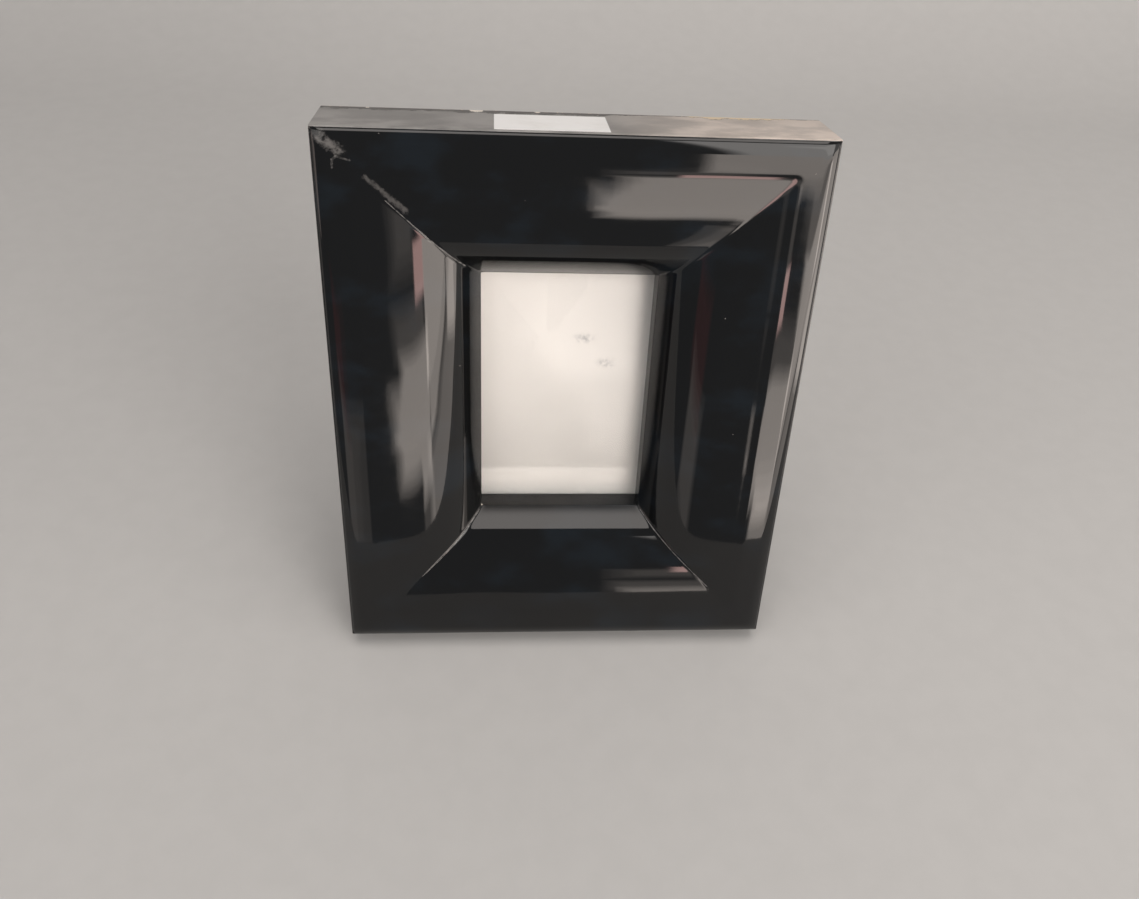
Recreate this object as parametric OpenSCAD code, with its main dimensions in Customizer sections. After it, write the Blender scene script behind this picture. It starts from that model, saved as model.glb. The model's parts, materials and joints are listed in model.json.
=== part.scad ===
// Free-standing picture frame: four mitred black rails with a deep stepped section, a pane, a sheet,
// a backing board held by turn buttons, and a hinged strut that folds flat against the back.
// Pieces are drawn as if the frame lay on its back: X across, Y up the face, Z out of the face,
// with the frame's back at Z = 0. stand() then sets them up on the table, leaning back.

/* [Picture opening] */
// Width that shows inside the sight edge
sight_w = 90; // [75:1:130]
// Height that shows inside the sight edge
sight_h = 140; // [120:1:200]
// Width of the lip that covers the edge of the glass
lip_w = 6.5; // [5:0.5:9]
// Gap between the edge of the glass or board and the rebate
pane_gap = 0.5; // [0.3:0.1:1]
// Gap between the edge of the sheet and the rebate
sheet_gap = 1.5; // [0.5:0.1:3]

/* [Moulding] */
// Width of a rail across its face
rail_w = 75; // [60:1:95]
// Depth of the flat outer side
side_d = 40.5; // [34:0.5:50]
// Height that the face rises above the flat side
rim_rise = 2.5; // [1.5:0.5:4]
// Width of the soft edge between the side and the flat rim
rim_soft_w = 7.5; // [5:0.5:10]
// Width from the outer side to the crest of the face
rim_w = 17; // [12:0.5:22]
// Height of the sight edge above the back
sight_d = 16.5; // [14:0.5:22]
// Even fall of the face between the crest and the sight edge
face_fall = 5; // [3:0.5:8]

/* [Glazing and backing] */
// Thickness of the glass
glass_t = 2; // [1.5:0.1:3]
// Thickness of the sheet
sheet_t = 0.3; // [0.2:0.1:0.6]
// Thickness of the backing board
board_t = 3; // [2.5:0.1:4]
// Depth of the board's back below the frame's back
board_recess = 0.1; // [0.1:0.1:0.5]

/* [Corner nails] */
// Length of each leg of a corner nail
nail_leg = 7; // [5:0.5:9]
// Thickness of a corner nail's steel
nail_t = 0.6; // [0.5:0.1:1]
// Depth that a corner nail is driven
nail_d = 8; // [6:0.5:12]
// Distance of the outer nails from the outer side
nail_outer = 20; // [16:0.5:22]
// Distance of the inner nails' ends from the rebate
nail_inset = 16; // [12:0.5:18]

/* [Turn buttons] */
// Thickness of a turn button
button_t = 0.9; // [0.7:0.1:1.2]
// Radius of a turn button's round end
button_eye_r = 6; // [5:0.5:7]
// Radius of a turn button's finger
button_tip_r = 4; // [3:0.5:5]
// Distance from a turn button's hole to the middle of its fingertip
button_reach = 18; // [15:0.5:21]
// Distance from the rebate to a turn button's screw
button_inset = 9; // [8:0.5:11]
// Distance from the board's upper or lower edge to the nearer screws
button_end = 31; // [26:0.5:34]
// Radius of a screw's shank
screw_r = 1.5; // [1.2:0.1:2]
// Depth that a screw reaches into the rail
screw_l = 14; // [10:0.5:20]
// Radius of a screw's head
screw_head_r = 3.1; // [2.8:0.1:3.6]
// Height of a screw's head
screw_head_h = 1.5; // [1.2:0.1:2]

/* [Stance] */
// Angle that the frame leans back from upright
lean_a = 13; // [9:0.5:15]
// Angle between the open strut and the frame's back
open_a = 26; // [22:0.5:32]

/* [Strut] */
// Thickness of the strut
strut_t = 4; // [3:0.5:5]
// Width of the strut between the hinge's ears
strut_top_w = 34; // [30:0.5:38]
// Width of the strut at its foot
strut_foot_w = 60; // [50:0.5:64]
// Length below the pin that the strut keeps its upper width
strut_neck = 36; // [34:0.5:50]
// Thickness left at the end of the strut's bevelled heel
heel_nose = 2; // [1.5:0.1:2.5]

/* [Strut hinge] */
// Thickness of the hinge's sheet steel
leaf_t = 0.8; // [0.6:0.1:1]
// Radius of the hinge pin
pin_r = 1.25; // [1:0.05:1.5]
// Length of the strut's leaf below the pin
leaf_l = 30; // [26:0.5:33]
// Width of the strut's leaf
leaf_w = 26; // [24:0.5:29]
// Length of the bracket above the pin
bracket_up = 27; // [26:0.5:30]
// Length of the bracket below the pin
bracket_down = 20; // [18:0.5:24]
// Distance from the board's upper edge to the bracket
bracket_drop = 5; // [3:0.5:8]
// Radius of an ear's round end
ear_r = 3.2; // [2.8:0.1:3.8]
// Half width of an ear at its foot
ear_foot = 6; // [5:0.5:8]
// Radius of a rivet's shank
rivet_r = 1.5; // [1.2:0.1:1.8]
// Radius of a rivet's head
rivet_head_r = 2.5; // [2.2:0.1:2.8]
// Height of a rivet's head
rivet_head_h = 0.9; // [0.6:0.1:1.2]

/* [Label] */
// Width of the blank label
label_w = 52.5; // [30:0.5:70]
// Length of the blank label from its back edge to its front edge
label_l = 29.7; // [20:0.1:31]
// Thickness of the label
label_t = 0.2; // [0.1:0.05:0.3]
// Distance from the frame's middle to the label's middle
label_x = -12.5; // [-30:0.5:30]
// Distance from the label to the front end of the flat side
label_front = 1.7; // [0.5:0.1:2]

/* [Hidden] */
$fn = 48;

// How much cutting shapes run past what they cut
over = 1;
// Gap between a turn button and the faces on either side of it
button_gap = 0.1;
// Radial clearance of a turn button on its screw
button_fit = 0.05;
// Radial clearance of the strut's knuckle on the pin
knuckle_fit = 0.05;
// Gap between the knuckle and the bracket's plate
knuckle_gap = 0.4;
// Gap between the knuckle's end and an ear
knuckle_end_gap = 0.3;
// Gap between the strut's side and an ear
ear_gap = 0.5;
// Gap left between the heel and the plate when the strut stands open
stop_gap = 0.1;
// Radius and thickness of the pin's flattened ends
pin_end_r = 2.1;
pin_end_t = 0.8;
// Radius and depth of the flattened tail of a rivet
tail_r = 2.4;
tail_h = 0.6;
// Distance of the bracket's rivets from its middle line and from its ends
bracket_rivet_x = 12;
bracket_rivet_end = 6;
// Distance of the leaf's rivets from its middle line and from its lower end
leaf_rivet_x = 8;
leaf_rivet_end = 9;
// Width and depth of the slots in a screw's head
cross_w = 0.7;
cross_d = 0.8;
// Radius of the small edge where the flat side meets the soft edge
arris_r = 0.8;
// How sharply the face turns down towards the sight edge
face_power = 5;
// Numbers of straight steps along the arris, the soft edge and the face, and round a turn button's ends
arris_steps = 3;
soft_steps = 6;
face_steps = 18;
arc_steps = 16;

frame_w = sight_w + 2 * rail_w;
frame_h = sight_h + 2 * rail_w;
crest_z = side_d + rim_rise;
face_w = rail_w - rim_w;
rebate_w = sight_w + 2 * lip_w;
rebate_h = sight_h + 2 * lip_w;
rebate_d = board_recess + board_t + sheet_t + glass_t;
board_w = rebate_w - 2 * pane_gap;
board_h = rebate_h - 2 * pane_gap;
sheet_w = rebate_w - 2 * sheet_gap;
sheet_h = rebate_h - 2 * sheet_gap;

// Corners of the frame in turn, as signs of X and Y, and the two distances of the nails
corner_signs = [[-1, -1], [1, -1], [1, 1], [-1, 1]];
nail_places = [nail_outer, rail_w - lip_w - nail_inset - nail_leg];

button_x = rebate_w / 2 + button_inset;
button_y = board_h / 2 - button_end;

knuckle_r = pin_r + knuckle_fit + leaf_t;
pin_lift = leaf_t + knuckle_gap + knuckle_r;
pin_y = board_h / 2 - bracket_drop - bracket_up;
pin_z = board_recess - pin_lift;
ear_in = strut_top_w / 2 + ear_gap;
ear_out = ear_in + leaf_t;

// The strut is drawn from the pin: Y towards its foot, Z away from the frame
strut_front = knuckle_r;
strut_back = knuckle_r + strut_t;
stop_h = pin_lift - leaf_t - stop_gap;
heel_c = strut_back - heel_nose;
foot_a = open_a - lean_a;
pin_from_edge = frame_h / 2 + pin_y;
pin_height = pin_from_edge * cos(lean_a) + pin_z * sin(lean_a);
pin_behind = pin_from_edge * sin(lean_a) - pin_z * cos(lean_a);

// Length of the strut's heel, and of its foot, at a distance c behind the pin
function heel_at(c) = (stop_h + c * cos(open_a)) / sin(open_a);
function foot_at(c) = (pin_height + c * sin(foot_a)) / cos(foot_a);

// Height of the soft edge at a distance u from the outer side
function soft_z(u) = side_d + rim_rise * (1 - pow(1 - u / rim_soft_w, 2));
// Height of the face at a share x of the way from the crest to the sight edge
function face_z(x) = crest_z - face_fall * x - (crest_z - face_fall - sight_d) * pow(x, face_power);

// Section of a rail: distance from the outer side, and height above the back
rail_section = concat(
    [[0, 0]],
    [for (i = [0 : arris_steps])
        let (turn = 90 * i / arris_steps)
        [arris_r * (1 - cos(turn)), soft_z(0) - arris_r + arris_r * sin(turn)]],
    [for (i = [1 : soft_steps])
        let (u = arris_r + (rim_soft_w - arris_r) * i / soft_steps)
        [u, soft_z(u)]],
    [for (i = [0 : face_steps])
        let (x = sin(90 * i / face_steps))
        [rim_w + face_w * x, face_z(x)]],
    [[rail_w, rebate_d], [rail_w - lip_w, rebate_d], [rail_w - lip_w, 0]]);

// How far the stood frame reaches in front of its lower back edge, and its foot behind it
front_reach = max([for (p = rail_section) p[1] * cos(lean_a) - p[0] * sin(lean_a)]);
foot_reach = pin_behind + foot_at(strut_back) * sin(foot_a) + strut_back * cos(foot_a);
edge_y = (front_reach - foot_reach) / 2;

lacquer = [0.03, 0.035, 0.04];
steel = [0.72, 0.72, 0.7];
brass = [0.78, 0.62, 0.34];
paper = [0.94, 0.92, 0.88];

// Sets the frame up on its lower back edge, leaning back
module stand()
    translate([0, edge_y, 0])
        rotate([90 - lean_a, 0, 0])
            translate([0, frame_h / 2, 0])
                children();

// Places what is drawn from the pin on the open strut
module on_strut()
    translate([0, pin_y, pin_z])
        rotate([open_a, 0, 0])
            rotate([180, 0, 0])
                children();

// One rail along X with its outer side at Y = 0, cut at 45 degrees at both ends
module rail(length) {
    reach = length / 2 + over;
    inner = rail_w + over;
    intersection() {
        translate([-length / 2, 0, 0])
            rotate([90, 0, 90])
                linear_extrude(length)
                    polygon(rail_section);
        translate([0, 0, -over])
            linear_extrude(crest_z + 2 * over)
                polygon([[-reach, -over], [reach, -over],
                         [length / 2 - inner, inner], [inner - length / 2, inner]]);
    }
}

// A rail on one side of the frame, with the pockets of its nails and screws
module placed_rail(length, across, turn)
    color(lacquer)
        stand()
            difference() {
                rotate([0, 0, turn])
                    translate([0, -across / 2, 0])
                        rail(length);
                nails();
                screws();
            }

module rail_top() placed_rail(frame_w, frame_h, 180);
module rail_bottom() placed_rail(frame_w, frame_h, 0);
module rail_left() placed_rail(frame_h, frame_w, -90);
module rail_right() placed_rail(frame_h, frame_w, 90);

// Bent steel nails across each mitre, driven flush into the back
module nails()
    for (k = [0 : len(corner_signs) - 1], place = nail_places)
        translate([corner_signs[k][0] * (frame_w / 2 - place), corner_signs[k][1] * (frame_h / 2 - place), 0])
            rotate([0, 0, 90 * k])
                linear_extrude(nail_d)
                    polygon([[0, 0], [nail_leg, 0], [nail_leg, nail_t],
                             [nail_t, nail_t], [nail_t, nail_leg], [0, nail_leg]]);

module corner_nails() color(steel) stand() nails();

// A flat plate centred on the opening, from a height above the back
module plate(width, height, thickness, lift)
    translate([-width / 2, -height / 2, lift])
        cube([width, height, thickness]);

module glass_pane()
    color([0.85, 0.92, 0.9, 0.35])
        stand()
            plate(board_w, board_h, glass_t, board_recess + board_t + sheet_t);

module paper_insert()
    color(paper)
        stand()
            plate(sheet_w, sheet_h, sheet_t, board_recess + board_t);

module backing_board()
    color([0.12, 0.11, 0.1])
        stand()
            difference() {
                plate(board_w, board_h, board_t, board_recess);
                bracket_rivet_set();
            }

// Points on an arc of radius r about a point on X, from one angle to another
function arc(centre_x, r, from, to) =
    [for (i = [0 : arc_steps])
        let (turn = from + (to - from) * i / arc_steps)
        [centre_x + r * cos(turn), r * sin(turn)]];

// A turn button from its hole at the origin, with its finger along X
module button_shape() {
    slant = acos((button_eye_r - button_tip_r) / button_reach);
    difference() {
        linear_extrude(button_t)
            polygon(concat(arc(0, button_eye_r, slant, 360 - slant),
                           arc(button_reach, button_tip_r, -slant, slant)));
        translate([0, 0, -over])
            cylinder(r = screw_r + button_fit, h = button_t + 2 * over);
    }
}

// A turn button on one side rail, closed over the board
module button(side, end)
    color(brass)
        stand()
            translate([side * button_x, end * button_y, -button_gap - button_t])
                rotate([0, 0, side > 0 ? 180 : 0])
                    button_shape();

module button_upper_left() button(-1, 1);
module button_upper_right() button(1, 1);
module button_lower_left() button(-1, -1);
module button_lower_right() button(1, -1);

// A round-headed screw that points up, with the underside of its head at Z = 0
module screw(length) {
    dome_r = (pow(screw_head_r, 2) + pow(screw_head_h, 2)) / (2 * screw_head_h);
    dome_a = asin(screw_head_r / dome_r);
    cylinder(r = screw_r, h = length);
    difference() {
        rotate_extrude()
            polygon(concat([[0, 0]],
                           [for (i = [0 : soft_steps])
                               let (a = dome_a * (1 - i / soft_steps))
                               [dome_r * sin(a), dome_r - screw_head_h - dome_r * cos(a)]]));
        for (turn = [0, 90])
            rotate([0, 0, turn])
                translate([-screw_head_r, -cross_w / 2, -screw_head_h - over])
                    cube([2 * screw_head_r, cross_w, cross_d + over]);
    }
}

module screws() {
    head_z = button_gap * 2 + button_t;
    for (side = [-1, 1], end = [-1, 1])
        translate([side * button_x, end * button_y, -head_z])
            screw(screw_l + head_z);
}

module button_screws() color(brass) stand() screws();

// A rivet that points down from the underside of its head, with a flattened tail
module rivet(grip) {
    translate([0, 0, -grip])
        cylinder(r = rivet_r, h = grip);
    cylinder(r1 = rivet_head_r, r2 = rivet_r, h = rivet_head_h);
    translate([0, 0, -grip])
        cylinder(r = tail_r, h = tail_h);
}

// Places for the bracket's rivets, with Z away from the frame
module bracket_rivet_set()
    for (x = [-bracket_rivet_x, bracket_rivet_x],
         y = [pin_y + bracket_up - bracket_rivet_end, pin_y - bracket_down + bracket_rivet_end])
        translate([x, y, board_recess - leaf_t])
            rotate([180, 0, 0])
                rivet(leaf_t + board_t);

module bracket_rivets() color(steel) stand() bracket_rivet_set();

// The fixed half of the hinge: a plate on the board, with an ear at each side for the pin
module hinge_bracket()
    color(steel)
        stand()
            difference() {
                union() {
                    translate([-ear_out, pin_y - bracket_down, board_recess - leaf_t])
                        cube([2 * ear_out, bracket_up + bracket_down, leaf_t]);
                    for (side = [-1, 1])
                        translate([side > 0 ? ear_in : -ear_out, pin_y, board_recess])
                            ear();
                }
                bracket_rivet_set();
                pin_shape();
            }

// One ear from the board's face at its lower end, thickness along X
module ear()
    rotate([90, 0, 90])
        linear_extrude(leaf_t)
            union() {
                polygon([[-ear_foot, 0], [ear_foot, 0], [ear_foot, -leaf_t],
                         [ear_r, -pin_lift], [-ear_r, -pin_lift], [-ear_foot, -leaf_t]]);
                translate([0, -pin_lift])
                    circle(r = ear_r);
            }

module pin_shape()
    translate([-ear_out, pin_y, pin_z])
        rotate([0, 90, 0])
            cylinder(r = pin_r, h = 2 * ear_out);

module hinge_pin()
    color(steel)
        stand() {
            pin_shape();
            for (x = [-ear_out - pin_end_t, ear_out])
                translate([x, pin_y, pin_z])
                    rotate([0, 90, 0])
                        cylinder(r = pin_end_r, h = pin_end_t);
        }

// The support leg: seen from the side it has a bevelled heel and a foot cut to the table,
// and seen from behind it widens towards its foot
module strut() {
    top = heel_at(heel_c);
    foot = foot_at(strut_back);
    color([0.12, 0.11, 0.1])
        stand()
            on_strut()
                difference() {
                    intersection() {
                        translate([-strut_foot_w / 2, 0, 0])
                            rotate([90, 0, 90])
                                linear_extrude(strut_foot_w)
                                    polygon([[-heel_at(strut_front), strut_front], [-top, heel_c],
                                             [-top, strut_back], [foot, strut_back],
                                             [foot_at(strut_front), strut_front]]);
                        translate([0, 0, strut_front - over])
                            linear_extrude(strut_t + 2 * over)
                                polygon([[-strut_top_w / 2, -top - over], [strut_top_w / 2, -top - over],
                                         [strut_top_w / 2, strut_neck], [strut_foot_w / 2, foot],
                                         [-strut_foot_w / 2, foot], [-strut_top_w / 2, strut_neck]]);
                    }
                    leaf_rivet_set();
                }
}

// The moving half of the hinge: a leaf on the strut's front, rolled round the pin
module strut_leaf() {
    length = 2 * (ear_in - knuckle_end_gap);
    color(steel)
        stand()
            on_strut()
                difference() {
                    union() {
                        translate([-leaf_w / 2, 0, knuckle_r - leaf_t])
                            cube([leaf_w, leaf_l, leaf_t]);
                        translate([-length / 2, 0, 0])
                            rotate([0, 90, 0])
                                cylinder(r = knuckle_r, h = length);
                    }
                    translate([-length / 2 - over, 0, 0])
                        rotate([0, 90, 0])
                            cylinder(r = pin_r + knuckle_fit, h = length + 2 * over);
                    leaf_rivet_set();
                }
}

module leaf_rivet_set()
    for (x = [-leaf_rivet_x, leaf_rivet_x])
        translate([x, leaf_l - leaf_rivet_end, strut_back])
            rivet(strut_t + leaf_t);

module leaf_rivets() color(steel) stand() on_strut() leaf_rivet_set();

// Blank label on the flat upper side of the top rail
module top_label()
    color(paper)
        stand()
            translate([label_x - label_w / 2, frame_h / 2, side_d - arris_r - label_front - label_l])
                cube([label_w, label_t, label_l]);

rail_top();
rail_bottom();
rail_left();
rail_right();
corner_nails();
glass_pane();
paper_insert();
backing_board();
button_upper_left();
button_upper_right();
button_lower_left();
button_lower_right();
button_screws();
hinge_bracket();
bracket_rivets();
hinge_pin();
strut();
strut_leaf();
leaf_rivets();
top_label();
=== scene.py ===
import json
import math

import bmesh
import bpy
from mathutils import Matrix, Vector


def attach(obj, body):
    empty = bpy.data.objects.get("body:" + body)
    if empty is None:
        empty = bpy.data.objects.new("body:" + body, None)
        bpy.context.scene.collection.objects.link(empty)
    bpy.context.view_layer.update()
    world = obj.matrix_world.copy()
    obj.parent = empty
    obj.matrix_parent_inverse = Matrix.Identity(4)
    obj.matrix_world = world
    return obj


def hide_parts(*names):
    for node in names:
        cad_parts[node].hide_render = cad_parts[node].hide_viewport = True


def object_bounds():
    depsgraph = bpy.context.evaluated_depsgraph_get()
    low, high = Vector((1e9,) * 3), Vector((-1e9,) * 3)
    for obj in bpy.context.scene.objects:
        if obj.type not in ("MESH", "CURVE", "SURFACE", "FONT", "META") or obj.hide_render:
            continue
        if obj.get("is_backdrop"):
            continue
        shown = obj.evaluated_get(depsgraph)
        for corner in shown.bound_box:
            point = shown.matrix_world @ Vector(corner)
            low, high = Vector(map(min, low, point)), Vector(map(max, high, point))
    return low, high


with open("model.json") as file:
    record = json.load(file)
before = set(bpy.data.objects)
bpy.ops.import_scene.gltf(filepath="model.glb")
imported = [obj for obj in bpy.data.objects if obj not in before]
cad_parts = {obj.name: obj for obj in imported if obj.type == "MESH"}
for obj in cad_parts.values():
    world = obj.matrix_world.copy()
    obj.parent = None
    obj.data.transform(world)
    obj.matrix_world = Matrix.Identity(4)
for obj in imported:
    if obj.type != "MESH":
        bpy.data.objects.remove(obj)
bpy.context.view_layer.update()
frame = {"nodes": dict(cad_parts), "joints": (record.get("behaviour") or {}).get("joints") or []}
nodes = frame["nodes"]
print("packed frame loaded:", len(nodes), "nodes")

# The frame leans back. Every new piece is modelled lying on its back and then stood up:
# x across, y up the face from its middle, z out of the face from the back plane.
turnJoint = next(j for j in frame["joints"] if j["name"] == "turn_upper_left")
backOut = Vector(turnJoint["axis"])
lean = math.atan2(-backOut.z, backOut.y)
edgeY = turnJoint["pos_m"][1] + turnJoint["pos_m"][2] * backOut.z / backOut.y    # back plane on the floor
fromEdge = Matrix.Translation((0, edgeY, 0)) @ Matrix.Rotation(math.radians(90) - lean, 4, "X")


def flatBox(matrix, *names):    # corners of CAD nodes in a lying-flat space
    back = matrix.inverted()
    points = [back @ v.co for name in names for v in nodes[name].data.vertices]
    return (Vector([min(p[i] for p in points) for i in range(3)]),
            Vector([max(p[i] for p in points) for i in range(3)]))


low, high = flatBox(fromEdge, "rail_top", "rail_bottom", "rail_left", "rail_right")
frameW = high.x - low.x
frameH = high.y - low.y
crestZ = high.z
standing = fromEdge @ Matrix.Translation((0, frameH / 2, 0))
railLow, railHigh = flatBox(standing, "rail_left")
railW = railHigh.x - railLow.x
rebateZ = flatBox(standing, "glass_pane")[1].z
sheetZ = flatBox(standing, "paper_insert")[1].z

tiny = 1e-6    # metres: less than this is no distance


def deselect():
    if bpy.context.object and bpy.context.object.mode != "OBJECT":
        bpy.ops.object.mode_set(mode="OBJECT")
    bpy.ops.object.select_all(action="DESELECT")


def onlySelect(piece):
    deselect()
    piece.select_set(True)
    bpy.context.view_layer.objects.active = piece


def pick(piece, test, kind="VERT"):    # selects what the test accepts, in edit mode
    bpy.ops.mesh.select_mode(type=kind)
    bpy.ops.mesh.select_all(action="DESELECT")
    mesh = bmesh.from_edit_mesh(piece.data)
    for part in (mesh.edges if kind == "EDGE" else mesh.verts):
        part.select_set(bool(test(part)))
    mesh.select_flush(True)
    bmesh.update_edit_mesh(piece.data)


def settle(piece, matrix):    # puts the place into the mesh and leaves the object at the origin
    onlySelect(piece)
    piece.matrix_world = matrix @ piece.matrix_world
    bpy.ops.object.transform_apply(location=True, rotation=True, scale=True)


def finishPiece(piece, name, material, body, slot, *stands):
    piece.name = name
    piece.data.name = name
    piece.data.materials.clear()
    piece.data.materials.append(material)
    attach(piece, body)
    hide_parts(*stands)


# Material helpers

noiseMiddle = 0.5    # a noise lies about this value


def newMaterial(name):
    material = bpy.data.materials.new(name)
    material.use_nodes = True
    tree = material.node_tree
    return material, tree, tree.nodes["Principled BSDF"]


def setSocket(tree, socket, value):
    if isinstance(value, bpy.types.NodeSocket):
        tree.links.new(value, socket)
    else:
        socket.default_value = value


def addNode(tree, kind, inputs=None, **settings):
    made = tree.nodes.new(kind)
    for key, value in settings.items():
        setattr(made, key, value)
    for key, value in (inputs or {}).items():
        setSocket(tree, made.inputs[key], value)
    return made


def setShader(tree, shader, inputs):
    for key, value in inputs.items():
        setSocket(tree, shader.inputs[key], value)


def objectCoordinates(tree):
    return addNode(tree, "ShaderNodeTexCoord").outputs["Object"]


def flatCoordinates(tree):    # the lying-flat place of a point of the standing frame
    return addNode(tree, "ShaderNodeMapping", {"Vector": objectCoordinates(tree),
                                               "Location": standing.to_translation(),
                                               "Rotation": standing.to_euler()},
                   vector_type="TEXTURE").outputs["Vector"]


def stretched(tree, vector, scale, turn=(0, 0, 0)):
    return addNode(tree, "ShaderNodeMapping",
                   {"Vector": vector, "Scale": scale, "Rotation": turn}).outputs["Vector"]


def split(tree, vector):
    parts = addNode(tree, "ShaderNodeSeparateXYZ", {"Vector": vector}).outputs
    return parts["X"], parts["Y"], parts["Z"]


def ramp(tree, value, fromLow, fromHigh, toLow=0.0, toHigh=1.0):
    return addNode(tree, "ShaderNodeMapRange", {"Value": value,
                                                "From Min": fromLow, "From Max": fromHigh,
                                                "To Min": toLow, "To Max": toHigh},
                   interpolation_type="SMOOTHSTEP").outputs["Result"]


def noiseOf(tree, vector, look):    # look: scale, detail, roughness and how it is stretched and turned
    if "stretch" in look:
        vector = stretched(tree, vector, look["stretch"], look.get("turn", (0, 0, 0)))
    return addNode(tree, "ShaderNodeTexNoise", {"Vector": vector, "Scale": look["scale"],
                                                "Detail": look["detail"],
                                                "Roughness": look["rough"]}).outputs["Fac"]


def patches(tree, vector, look):    # a noise whose range is drawn out, which leaves patches
    return ramp(tree, noiseOf(tree, vector, look), *look["range"], *look.get("to", (0.0, 1.0)))


def calc(tree, operation, first, second=0.0):
    return addNode(tree, "ShaderNodeMath", {0: first, 1: second}, operation=operation).outputs[0]


def times(tree, first, second):
    return calc(tree, "MULTIPLY", first, second)


def plus(tree, first, second):
    return calc(tree, "ADD", first, second)


def minus(tree, first, second):
    return calc(tree, "SUBTRACT", first, second)


def positive(tree, value):
    return calc(tree, "ABSOLUTE", value)


def mixColour(tree, share, first, second):
    made = addNode(tree, "ShaderNodeMix", {0: share}, data_type="RGBA")
    for socket, value in ((made.inputs[6], first), (made.inputs[7], second)):
        setSocket(tree, socket, value if isinstance(value, bpy.types.NodeSocket) else (*value, 1.0))
    return made.outputs[2]


def mixValue(tree, share, first, second):
    return addNode(tree, "ShaderNodeMix", {0: share, 2: first, 3: second}, data_type="FLOAT").outputs[0]


def cover(tree, share, coat, colour, rough):    # lays a colour and a roughness over those of a coat
    return mixColour(tree, share, coat[0], colour), mixValue(tree, share, coat[1], rough)


def shaded(colour, much):
    return [c * much for c in colour]


def vectorMath(tree, operation, inputs, output="Vector"):
    return addNode(tree, "ShaderNodeVectorMath", inputs, operation=operation).outputs[output]


def addBump(tree, shader, height, strength, distance):
    bump = addNode(tree, "ShaderNodeBump", {"Height": height, "Strength": strength, "Distance": distance})
    tree.links.new(bump.outputs["Normal"], shader.inputs["Normal"])


# Camera and stage

cameraSet = {
    "place": (-0.0398, -0.4206, 0.4962),
    "turnDegrees": (46.473, -3.226, -3.147),
    "lens": 31.64,
    "sensorWidth": 36.0,
    "clipStart": 0.01,
}


def makeCamera():
    bpy.ops.object.camera_add(location=cameraSet["place"],
                              rotation=[math.radians(a) for a in cameraSet["turnDegrees"]])
    camera = bpy.context.object
    camera.data.lens = cameraSet["lens"]
    camera.data.sensor_width = cameraSet["sensorWidth"]
    camera.data.clip_start = cameraSet["clipStart"]
    bpy.context.scene.camera = camera


stageSet = {
    "halfWidth": 2.2,
    "frontEdge": -0.236,    # just outside the view, so that the low lamps reach the face
    "backEdge": 1.2,
    "wallHeight": 1.6,
    "sweepRadius": 0.55,
    "sweepSteps": 24,
    "colour": (0.475, 0.47, 0.46),
    "mottleShade": 0.975,
    "mottle": {"scale": 60.0, "detail": 5.0, "rough": 0.5, "range": (0.3, 0.7)},
    "roughness": 0.75,
    "specular": 0.25,
}


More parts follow.
